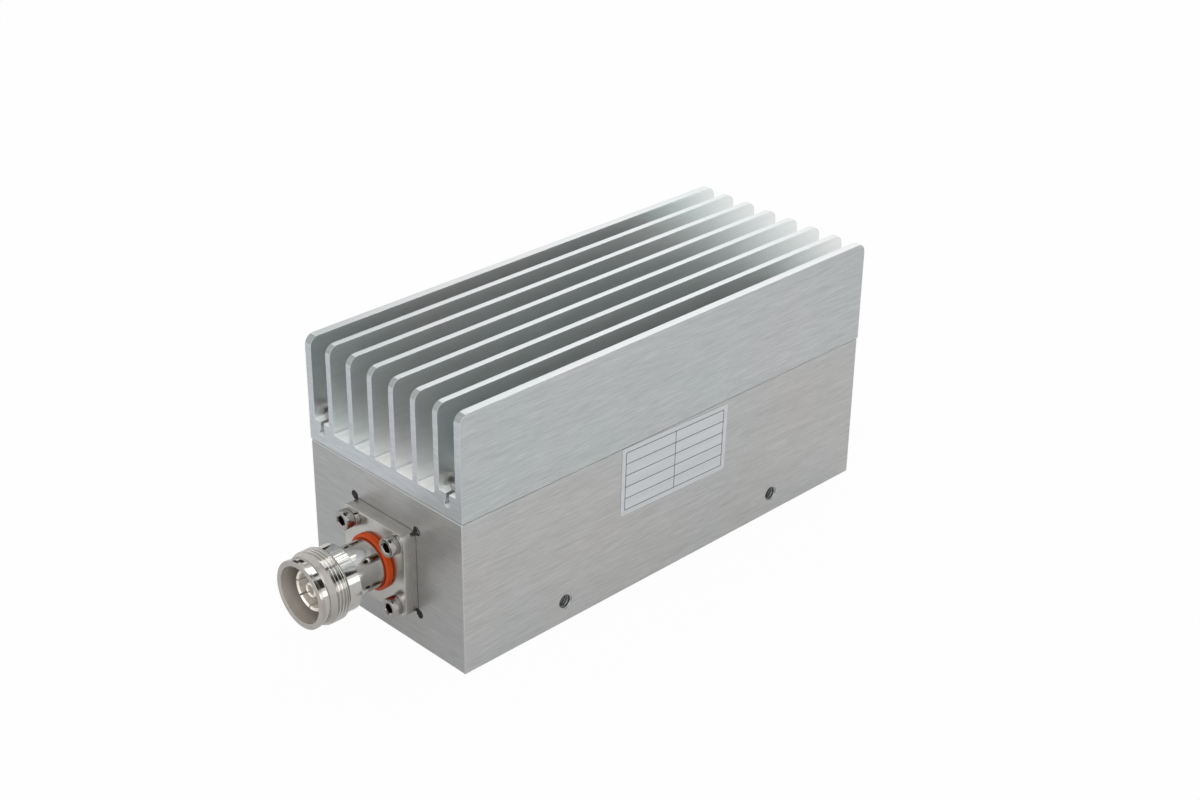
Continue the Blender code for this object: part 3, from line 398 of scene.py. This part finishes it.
# %% [markdown]
# The jack's shell is one turning: lip, bright neck, tapered lead, thread, rear collar and barrel
# outside, and a stepped bore inside that carries on to the back of the housing's wall. Its half
# section is drawn once as a closed loop of points and spun round the axis. The ring edges are
# then bevelled a little, as a lathe hand breaks them. The lip and the taper are left satin, the
# mouth is duller still, and the rest is polished. The faces' places tell the three apart.

# %% Turn the jack's shell
THREAD_RADIUS = 10.0 * MM
ROOT_RADIUS = 9.4 * MM
THREAD_REAR = 20.1 * MM
THREAD_FRONT = 23.7 * MM
TAPER_END = 25.4 * MM
TAPER_RADIUS = 9.3 * MM
COLLAR_RADIUS = 9.15 * MM
COLLAR_REAR = 15.4 * MM
NECK_RADIUS = 8.9 * MM
LIP_RADIUS = 9.4 * MM
LIP_LENGTH = 1.1 * MM
BARREL_RADIUS = 6.85 * MM
SPIGOT_RADIUS = 6.4 * MM
SPIGOT_REACH = -9.2 * MM
MOUTH_RADIUS = 7.9 * MM
MOUTH_DEPTH = 12.0 * MM
BASKET_SEAT = 8.0 * MM
BASKET_BORE = 6.1 * MM
LINE_RADIUS = 5.0 * MM
FLANGE_FRONT = 4.1 * MM
FLANGE_BACK = -0.9 * MM
GROOVE = 0.35 * MM


def spin_section(points, steps=128):
    """A bmesh of a closed half section turned a full circle round the jack's axis."""
    bm = bmesh.new()
    verts = [bm.verts.new(on_jack(radius, reach)) for radius, reach in points]
    outline = [bm.edges.new(pair) for pair in zip(verts, verts[1:] + verts[:1])]
    bmesh.ops.spin(bm, geom=verts + outline, cent=on_jack(0, 0), axis=(0, 1, 0), dvec=(0, 0, 0),
                   angle=math.tau, steps=steps, use_merge=True, use_duplicate=False)
    bmesh.ops.remove_doubles(bm, verts=bm.verts, dist=0.002 * MM)
    bmesh.ops.recalc_face_normals(bm, faces=bm.faces)
    return bm


def break_edges(bm, width, over_degrees=20, segments=2):
    """Bevel every edge that turns by more than the given angle."""
    sharp = [e for e in bm.edges if e.is_manifold and e.calc_face_angle() > math.radians(over_degrees)]
    bmesh.ops.bevel(bm, geom=sharp, offset=width, offset_type="OFFSET", affect="EDGES",
                    segments=segments, profile=0.5, material=-1)


shell = spin_section([
    (LIP_RADIUS, LIP_REACH), (LIP_RADIUS, LIP_REACH - LIP_LENGTH),
    (NECK_RADIUS, LIP_REACH - LIP_LENGTH), (NECK_RADIUS, TAPER_END), (TAPER_RADIUS, TAPER_END),
    (THREAD_RADIUS, THREAD_FRONT), (ROOT_RADIUS, THREAD_FRONT - GROOVE),
    (ROOT_RADIUS, THREAD_REAR + GROOVE), (THREAD_RADIUS, THREAD_REAR),
    (COLLAR_RADIUS, THREAD_REAR - (THREAD_RADIUS - COLLAR_RADIUS)), (COLLAR_RADIUS, COLLAR_REAR),
    (BARREL_RADIUS, COLLAR_REAR), (BARREL_RADIUS, FLANGE_BACK), (SPIGOT_RADIUS, FLANGE_BACK),
    (SPIGOT_RADIUS, SPIGOT_REACH), (LINE_RADIUS, SPIGOT_REACH), (LINE_RADIUS, BASKET_SEAT),
    (BASKET_BORE, BASKET_SEAT), (BASKET_BORE, LIP_REACH - MOUTH_DEPTH),
    (MOUTH_RADIUS, LIP_REACH - MOUTH_DEPTH), (MOUTH_RADIUS, LIP_REACH)])
break_edges(shell, 0.1 * MM)
for face in shell.faces:
    middle = face.calc_center_median()
    radius = math.hypot(middle.x, middle.z - JACK_Z)
    reach = FACE_Y - middle.y
    on_lip = reach > LIP_REACH - LIP_LENGTH - 0.05 * MM and radius > MOUTH_RADIUS + 0.05 * MM
    on_taper = THREAD_FRONT - 0.05 * MM < reach < TAPER_END + 0.05 * MM and radius > TAPER_RADIUS - 0.3 * MM
    in_mouth = reach > LIP_REACH - MOUTH_DEPTH - 0.1 * MM and radius < MOUTH_RADIUS + 0.02 * MM
    face.material_index = 2 if in_mouth else 1 if on_lip or on_taper else 0
jack_shell = make_piece("jack_shell", shell, shell_metal, "connector_body", 12)
jack_shell.data.materials.append(satin_shell)
jack_shell.data.materials.append(bore_satin)

# %% [markdown]
# The coupling thread is a real helix. A small triangular ridge is spun round the axis with a
# steady shift along it, one pitch a turn. Both of its ends run into the shell's solid shoulders,
# where each crest is pulled down to the taper's height, as a lathe tool would leave it.

# %% Cut the coupling thread
PITCH = 1.0 * MM
THREAD_STEPS = 96
THREAD_START = THREAD_REAR - 0.75 * MM
THREAD_TURNS = (THREAD_FRONT - THREAD_START) / PITCH - 0.35


def thread_limit(reach):
    """The greatest radius the blank has at a reach, over its band and two tapers."""
    rear = THREAD_RADIUS - max(THREAD_REAR - reach, 0)
    front_slope = (THREAD_RADIUS - TAPER_RADIUS) / (TAPER_END - THREAD_FRONT)
    front = THREAD_RADIUS - max(reach - THREAD_FRONT, 0) * front_slope
    return min(rear, front) - 0.01 * MM


ridge = bmesh.new()
section = [ridge.verts.new(on_jack(radius, THREAD_START + reach)) for radius, reach in (
    (ROOT_RADIUS - 0.1 * MM, 0.04 * MM), (THREAD_RADIUS, 0.43 * MM), (THREAD_RADIUS, 0.57 * MM),
    (ROOT_RADIUS - 0.1 * MM, 0.96 * MM))]
blade = ridge.faces.new(section)
steps = round(THREAD_TURNS * THREAD_STEPS)
bmesh.ops.spin(ridge, geom=list(ridge.verts) + list(ridge.edges) + [blade], cent=on_jack(0, 0),
               axis=(0, 1, 0), dvec=(0, -PITCH / THREAD_STEPS, 0), angle=math.tau * THREAD_TURNS,
               steps=steps, use_merge=False, use_duplicate=False)
for vert in ridge.verts:
    spoke = Vector((vert.co.x, 0, vert.co.z - JACK_Z))
    limit = thread_limit(FACE_Y - vert.co.y)
    if spoke.length > limit:
        vert.co -= spoke.normalized() * (spoke.length - limit)
coupling_thread = make_piece("coupling_thread", ridge, shell_metal, smooth_angle=12)

# %% [markdown]
# The flange is a square plate with round corners. A cube is stretched to size, its four long
# corners are bevelled to their radius and the rims are broken.

# %% Mill the flange
FLANGE_CORNER = 1.6 * MM
FLANGE_SIDE = body_high.x - body_low.x + 0.6 * MM

plate = bmesh.new()
bmesh.ops.create_cube(plate, size=1)
bmesh.ops.scale(plate, vec=(FLANGE_SIDE, FLANGE_FRONT - FLANGE_BACK, FLANGE_SIDE), verts=plate.verts)
bmesh.ops.translate(plate, vec=on_jack(0, (FLANGE_FRONT + FLANGE_BACK) / 2), verts=plate.verts)
corners = [e for e in plate.edges if abs(e.verts[0].co.y - e.verts[1].co.y) > MM]
bmesh.ops.bevel(plate, geom=corners, offset=FLANGE_CORNER, offset_type="OFFSET", affect="EDGES",
                segments=8, profile=0.5, material=-1)
rims = [e for e in plate.edges if abs(e.verts[0].co.y - e.verts[1].co.y) < 0.01 * MM]
bmesh.ops.bevel(plate, geom=rims, offset=0.15 * MM, offset_type="OFFSET", affect="EDGES",
                segments=2, profile=0.5, material=-1)
jack_flange = make_piece("jack_flange", plate, flange_metal)

# %% [markdown]
# The orange ring is a moulded silicone gasket. It sits flat on the flange and grips the barrel,
# and its outer rim is well rounded, so its section is a small rectangle with a wide bevel.

# %% Mould the gasket
GASKET_RADIUS = 7.9 * MM
GASKET_FRONT = 6.1 * MM

gasket = spin_section([
    (GASKET_RADIUS, GASKET_FRONT), (GASKET_RADIUS, FLANGE_FRONT), (BARREL_RADIUS, FLANGE_FRONT),
    (BARREL_RADIUS, GASKET_FRONT)], steps=96)
break_edges(gasket, 0.4 * MM, segments=5)
gasket_ring = make_piece("silicone_gasket", gasket, silicone, "gasket_ring", 50)

# %% [markdown]
# Four socket cap screws hold the flange, each on a split lock washer. A screw is lofted from
# rings of points, all with the same count: round ones for the shank and the head, and hexagonal
# ones for the socket. Below its bright chamfer the socket is painted near black, a painted shade
# that stands in for the dark deep in the hexagonal recess. The head's underside is cut back a
# little, which leaves a shadow line above the washer.

# %% Make the flange screws and their washers
SCREW_SPACING = 18.29 * MM
SHANK_RADIUS = 1.5 * MM
SHANK_LENGTH = 9.0 * MM
HEAD_RADIUS = 2.72 * MM
HEAD_HEIGHT = 2.8 * MM
HEAD_BREAK = 0.3 * MM
HEAD_UNDERCUT = 0.22 * MM
KEY_RADIUS = 1.5 * MM
KEY_CHAMFER = 0.28 * MM
KEY_DEPTH = 1.7 * MM
WASHER_RADIUS = 2.75 * MM
WASHER_HEIGHT = 0.63 * MM
RING_POINTS = 48


def screw_ring(bm, radius, height, frame_of_screw, hexagonal=False):
    """A ring of points about a screw's axis, round or along a hexagon's sides."""
    ring = []
    for number in range(RING_POINTS):
        angle = math.tau * number / RING_POINTS
        length = radius
        if hexagonal:
            off_middle = angle % math.radians(60) - math.radians(30)
            length = radius * math.cos(math.radians(30)) / math.cos(off_middle)
        point = Vector((length * math.cos(angle), length * math.sin(angle), height))
        ring.append(bm.verts.new(frame_of_screw @ point))
    return ring


def loft_rings(bm, rings, socket_from):
    """Faces between each ring and the next, with both ends closed."""
    for number, (first, second) in enumerate(zip(rings, rings[1:])):
        for k in range(RING_POINTS):
            face = bm.faces.new((first[k], first[k - 1], second[k - 1], second[k]))
            face.material_index = 1 if number >= socket_from else 0
    bm.faces.new(rings[0])
    bm.faces.new(rings[-1][::-1]).material_index = 1


FACING_OUT = Matrix.Rotation(math.radians(90), 4, "X")
half = SCREW_SPACING / 2
for number, (x, z) in enumerate(((-half, half), (half, half), (-half, -half), (half, -half)), 1):
    seat = Vector((x, FACE_Y - FLANGE_FRONT, JACK_Z + z))
    turn = Matrix.Rotation(math.radians(37 * number), 4, "Z")
    stand = Matrix.Translation(seat) @ FACING_OUT @ turn
    screw_bm = bmesh.new()
    head = WASHER_HEIGHT
    top = head + HEAD_HEIGHT
    loft_rings(screw_bm, [
        screw_ring(screw_bm, SHANK_RADIUS, -SHANK_LENGTH, stand),
        screw_ring(screw_bm, SHANK_RADIUS, head, stand),
        screw_ring(screw_bm, HEAD_RADIUS - 1.6 * HEAD_UNDERCUT, head, stand),
        screw_ring(screw_bm, HEAD_RADIUS, head + HEAD_UNDERCUT, stand),
        screw_ring(screw_bm, HEAD_RADIUS, top - HEAD_BREAK, stand),
        screw_ring(screw_bm, HEAD_RADIUS - 0.12 * MM, top - 0.08 * MM, stand),
        screw_ring(screw_bm, HEAD_RADIUS - HEAD_BREAK, top, stand),
        screw_ring(screw_bm, KEY_RADIUS + KEY_CHAMFER, top, stand),
        screw_ring(screw_bm, KEY_RADIUS, top - KEY_CHAMFER, stand, True),
        screw_ring(screw_bm, KEY_RADIUS, top - KEY_DEPTH, stand, True),
        screw_ring(screw_bm, KEY_RADIUS * 0.3, top - KEY_DEPTH - 0.4 * MM, stand)], socket_from=8)
    screw = make_piece(f"socket_screw_{number}", screw_bm, steel, f"flange_screw_{number}", 30)
    # the socket's faces take the painted shade
    screw.data.materials.append(socket_painted_shade)

    washer_bm = bmesh.new()
    inner = SHANK_RADIUS + 0.15 * MM
    corners = [washer_bm.verts.new(stand @ Vector((radius, 0, height))) for radius, height in (
        (inner, 0), (WASHER_RADIUS, 0), (WASHER_RADIUS, WASHER_HEIGHT), (inner, WASHER_HEIGHT))]
    wire = washer_bm.faces.new(corners)
    bmesh.ops.spin(washer_bm, geom=list(washer_bm.verts) + list(washer_bm.edges) + [wire],
                   cent=seat, axis=(0, 1, 0), dvec=(0, 0, 0), angle=math.radians(350), steps=56,
                   use_merge=False, use_duplicate=False)
    washer = make_piece(f"spring_washer_{number}", washer_bm, washer_steel, f"lock_washer_{number}", 30)

# %% [markdown]
# The tapped holes low on both sides show their threads. Each thread is a thin ridge that winds
# inward from the hole's wall, spun round the hole's own axis. The threads are painted far darker
# than the housing's aluminium that they are cut in, a painted shade of the holes.

# %% Tap the bracket holes
HOLE_RADIUS = 2.0 * MM
HOLE_HEIGHT = 6.2 * MM
HOLE_INSET = 35.4 * MM
HOLE_START = 0.5 * MM
HOLE_DEPTH = 7.2 * MM
HOLE_PITCH = 0.7 * MM
HOLE_STEPS = 32

taps = bmesh.new()
for side in (-1, 1):
    for end in (-1, 1):
        mouth = Vector((side * (housing_high.x - HOLE_START), end * (housing_high.y - HOLE_INSET),
                        HOLE_HEIGHT))
        tooth = [taps.verts.new(mouth + Vector((-side * along, 0, radius))) for radius, along in (
            (HOLE_RADIUS + 0.02 * MM, 0), (HOLE_RADIUS - 0.36 * MM, 0.3 * MM),
            (HOLE_RADIUS - 0.36 * MM, 0.4 * MM), (HOLE_RADIUS + 0.02 * MM, 0.7 * MM))]
        blade = taps.faces.new(tooth)
        turns = HOLE_DEPTH / HOLE_PITCH
        bmesh.ops.spin(taps, geom=tooth + list(blade.edges) + [blade], cent=mouth, axis=(1, 0, 0),
                       dvec=(-side * HOLE_PITCH / HOLE_STEPS, 0, 0), angle=math.tau * turns,
                       steps=round(turns * HOLE_STEPS), use_merge=False, use_duplicate=False)
tapped_threads = make_piece("tapped_threads", taps, tapped_painted_shade, smooth_angle=20)

# %% [markdown]
# A foil label is stuck on the right side, just under the joint. It was put on by hand, so it is
# turned by a degree and a half. The foil is one thin plate, with its four corners rounded.

# %% Stick on the foil label
LABEL_LENGTH = 41.0 * MM
LABEL_HEIGHT = 20.4 * MM
LABEL_THICKNESS = 0.1 * MM
LABEL_CORNER = 0.6 * MM
LABEL_TILT = math.radians(-1.55)
LABEL_CENTRE = Vector((housing_high.x + LABEL_THICKNESS / 2, -0.3 * MM, 33.85 * MM))


def label_plate(length, height, thickness, corner, shift=(0, 0, 0)):
    """A thin upright plate with rounded corners, placed and turned as the label is."""
    bm = bmesh.new()
    bmesh.ops.create_cube(bm, size=1)
    bmesh.ops.scale(bm, vec=(thickness, length, height), verts=bm.verts)
    if corner:
        ends = [e for e in bm.edges if abs(e.verts[0].co.x - e.verts[1].co.x) > thickness / 2]
        bmesh.ops.bevel(bm, geom=ends, offset=corner, offset_type="OFFSET", affect="EDGES",
                        segments=5, profile=0.5, material=-1)
    bmesh.ops.translate(bm, vec=shift, verts=bm.verts)
    turn = Matrix.Translation(LABEL_CENTRE) @ Matrix.Rotation(LABEL_TILT, 4, "X")
    bmesh.ops.transform(bm, matrix=turn, verts=bm.verts)
    return bm


foil, tree, shader = start_material("label_foil", 1.0, 0.3)
place = add_node(tree, "TexCoord").outputs["Object"]
grain = place_group(tree, brushing, Place=place, Lines_per_m=5000.0, Scratch_share=0.05)
tone = add_node(tree, "MapRange", Value=grain.outputs["Pass"], n1=0.3, n2=0.7, n3=0.94, n4=1.04)
toned = add_node(tree, "VectorMath", {"operation": "SCALE"}, n0=(0.68, 0.70, 0.72), Scale=tone.outputs[0])
tree.links.new(toned.outputs[0], shader.inputs["Base Color"])
foil_label = make_piece("foil_label", label_plate(LABEL_LENGTH, LABEL_HEIGHT, LABEL_THICKNESS,
                                                  LABEL_CORNER), foil)

# %% [markdown]
# The label is a blank form. It has a thin frame, evenly ruled lines to write on, and a rule down
# the middle, all the same grey. Nothing is filled in. Each line is a very thin plate on the foil.

# %% Rule the blank form
RULE_THICKNESS = 0.02 * MM
RULE_WIDTH = 0.22 * MM
FORM_INSET = 1.5 * MM
FORM_ROWS = 5

form_length = LABEL_LENGTH - 2 * FORM_INSET
form_height = LABEL_HEIGHT - 2 * FORM_INSET
rules = [(form_length, RULE_WIDTH, 0, form_height * (row / FORM_ROWS - 0.5)) for row in range(FORM_ROWS + 1)]
rules += [(RULE_WIDTH, form_height, side * form_length / 2, 0) for side in (-1, 0, 1)]
ruling = bmesh.new()
for length, height, along, above in rules:
    spot = (LABEL_THICKNESS / 2 + RULE_THICKNESS / 2, along, above)
    strip = label_plate(length, height, RULE_THICKNESS, 0, spot)
    mesh = bpy.data.meshes.new("strip")
    strip.to_mesh(mesh)
    strip.free()
    ruling.from_mesh(mesh)
    bpy.data.meshes.remove(mesh)
ink = plain_body("form_ink", (0.16, 0.16, 0.165), 0.5, 3000.0, 0.000002)
form_lines = make_piece("form_lines", ruling, ink)

# %% [markdown]
# The stage is plain. The floor is white paper, and the camera sees it as white with a trace of
# the object's shadow. Metal and glass see the same white, but with more of the shadow left in it,
# which is what darkens the sides towards their lower edges. The studio round it is white as well.

# %% Lay the floor
floor_bm = bmesh.new()
bmesh.ops.create_grid(floor_bm, x_segments=1, y_segments=1, size=2.0)
bmesh.ops.translate(floor_bm, vec=(0, 0, housing_low.z - 0.05 * MM), verts=floor_bm.verts)
floor_mesh = bpy.data.meshes.new("floor")
floor_bm.to_mesh(floor_mesh)
floor_bm.free()
floor = bpy.data.objects.new("floor", floor_mesh)
bpy.context.scene.collection.objects.link(floor)
paper, tree, shader = start_material("floor_paper", 0.0, 0.9, Base_Color=(0.80, 0.80, 0.80, 1))
ray = add_node(tree, "LightPath")
glow = add_node(tree, "Emission", Color=(1, 1, 1, 1), Strength=1.0)
mirrored = calculate(tree, "ADD", ray.outputs["Is Glossy Ray"], ray.outputs["Is Transmission Ray"])
share = calculate(tree, "MULTIPLY", ray.outputs["Is Camera Ray"], 0.97)
share = calculate(tree, "MAXIMUM", share, calculate(tree, "MULTIPLY", mirrored, 0.35))
mixed = add_node(tree, "MixShader", n0=share, n1=shader.outputs[0], n2=glow.outputs[0])
tree.links.new(mixed.outputs[0], tree.nodes["Material Output"].inputs["Surface"])
floor_mesh.materials.append(paper)

# %% Paint the studio white
STUDIO_LEVEL = 0.85
world = bpy.data.worlds.new("studio")
bpy.context.scene.world = world
world.use_nodes = True
tree = world.node_tree
ray = add_node(tree, "LightPath")
mirrored = calculate(tree, "ADD", ray.outputs["Is Glossy Ray"], ray.outputs["Is Transmission Ray"])
shows = calculate(tree, "MINIMUM", calculate(tree, "ADD", ray.outputs["Is Camera Ray"], mirrored), 1.0)
level = (STUDIO_LEVEL, STUDIO_LEVEL, STUDIO_LEVEL, 1)
seen = blend_colours(tree, shows, level, (1, 1, 1, 1))
tree.links.new(seen, tree.nodes["Background"].inputs["Color"])
print("studio level", STUDIO_LEVEL)

# %% [markdown]
# Polished metal shows its surroundings, and in an all white room the jack would look like white
# plastic. So black flags hang in the room, as a photographer hangs them: two at the sides, high
# enough to stay out of the picture, and one overhead. Each is a round card facing the object.

# %% Hang the flags
def sky_direction(azimuth, elevation):
    """The direction of a place in the room, its azimuth counted from +Y towards +X."""
    azimuth, elevation = math.radians(azimuth), math.radians(elevation)
    return Vector((math.sin(azimuth) * math.cos(elevation), math.cos(azimuth) * math.cos(elevation),
                   math.sin(elevation)))


felt = start_material("black_felt", 0.0, 0.95, Base_Color=(0.03, 0.03, 0.03, 1))[0]
FLAGS = ((53, 38, 15), (-70, 22, 14), (50, 80, 21))  # azimuth, elevation and half width in degrees
FLAG_DISTANCE = 1.2
for number, (azimuth, elevation, half_width) in enumerate(FLAGS, 1):
    towards = sky_direction(azimuth, elevation)
    card = bmesh.new()
    bmesh.ops.create_circle(card, cap_ends=True, segments=48,
                            radius=FLAG_DISTANCE * math.tan(math.radians(half_width)))
    turn = towards.to_track_quat("Z", "Y").to_matrix().to_4x4()
    bmesh.ops.transform(card, matrix=Matrix.Translation(towards * FLAG_DISTANCE) @ turn, verts=card.verts)
    card_mesh = bpy.data.meshes.new(f"flag_{number}")
    card.to_mesh(card_mesh)
    card.free()
    card_mesh.materials.append(felt)
    flag = bpy.data.objects.new(f"flag_{number}", card_mesh)
    bpy.context.scene.collection.objects.link(flag)
print("flags", len(FLAGS))


# %% Light the object
def softbox(name, azimuth, elevation, distance, size, power):
    """A square area lamp that faces the object."""
    lamp = bpy.data.lights.new(name, "AREA")
    lamp.size = size
    lamp.energy = power
    box = bpy.data.objects.new(name, lamp)
    bpy.context.scene.collection.objects.link(box)
    box.location = sky_direction(azimuth, elevation) * distance
    box.rotation_euler = box.location.to_track_quat("Z", "Y").to_euler()
    return box


softbox("rear_box", -12, 60, 1.0, 0.42, 1.3)
softbox("side_box", 66, 8, 1.2, 0.35, 0.5)
softbox("front_box", 158, 32, 1.1, 0.5, 2.0)
print("softboxes", 3)

# %% [markdown]
# The camera stands where the photographer's did: to the right of the jack, a little above the
# fins, close enough for strong perspective. Its place and turn were fitted to the edges of the
# real object, and its lens follows from the same fit.

# %% Place the camera
AZIMUTH = math.radians(45.306)
ELEVATION = math.radians(27.917)
ROLL = math.radians(0.691)
CAMERA_PLACE = Vector((354.9, -350.3, 304.5)) * MM

back = Vector((math.sin(AZIMUTH) * math.cos(ELEVATION), -math.cos(AZIMUTH) * math.cos(ELEVATION),
               math.sin(ELEVATION)))
level_right = Vector((math.cos(AZIMUTH), math.sin(AZIMUTH), 0))
level_up = back.cross(level_right)
right = level_right * math.cos(ROLL) + level_up * math.sin(ROLL)
up = level_up * math.cos(ROLL) - level_right * math.sin(ROLL)
lens = bpy.data.cameras.new("camera")
lens.lens = 60.47
lens.sensor_width = 36.0
lens.sensor_fit = "HORIZONTAL"
lens.clip_start = 0.01
camera = bpy.data.objects.new("camera", lens)
bpy.context.scene.collection.objects.link(camera)
camera.matrix_world = Matrix.Translation(CAMERA_PLACE) @ Matrix((right, up, back)).transposed().to_4x4()
bpy.context.scene.camera = camera
bpy.context.scene.view_settings.view_transform = "Standard"
print("camera", [round(v, 3) for v in camera.location])
